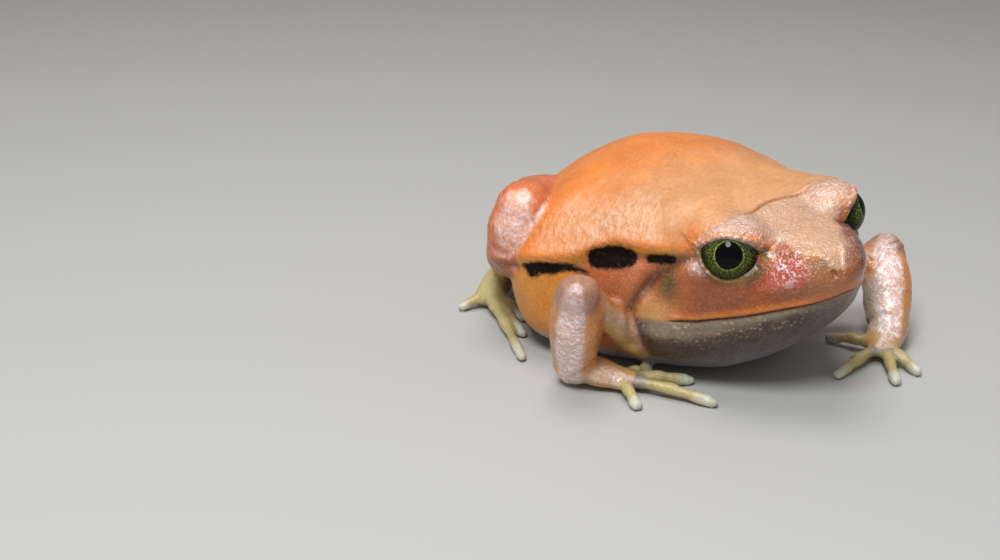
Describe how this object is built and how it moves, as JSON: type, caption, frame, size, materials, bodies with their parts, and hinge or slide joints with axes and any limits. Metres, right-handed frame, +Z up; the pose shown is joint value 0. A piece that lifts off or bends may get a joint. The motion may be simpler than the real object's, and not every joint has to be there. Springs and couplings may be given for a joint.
{
  "type": "tomato frog model",
  "caption": "Life-size still model of a squat tomato frog sitting with its head raised, elbows out and hind legs folded.",
  "frame": {"origin": "on the floor, under the middle of the whole frog's box", "axes": "+Z up, the frog faces -Y, its right side is at -X"},
  "size_m": [0.0798, 0.0828, 0.0386],
  "materials": {
    "orange_skin": "wet, finely granular orange skin",
    "pale_skin": "wet, smooth, paler skin of throat, forelimbs and feet",
    "eye": "polished, clear-coated olive iris with a black pupil"
  },
  "bodies": {
    "root": {"torso": "orange_skin", "head": "orange_skin", "lower_jaw": "pale_skin", "right_eye": "eye", "left_eye": "eye", "right_upper_arm": "pale_skin", "right_forearm": "pale_skin", "right_hand": "pale_skin", "right_foot": "pale_skin", "right_thigh": "orange_skin", "right_shank": "orange_skin", "left_upper_arm": "pale_skin", "left_forearm": "pale_skin", "left_hand": "pale_skin", "left_foot": "pale_skin", "left_thigh": "orange_skin", "left_shank": "orange_skin"}
  },
  "joints": []
}
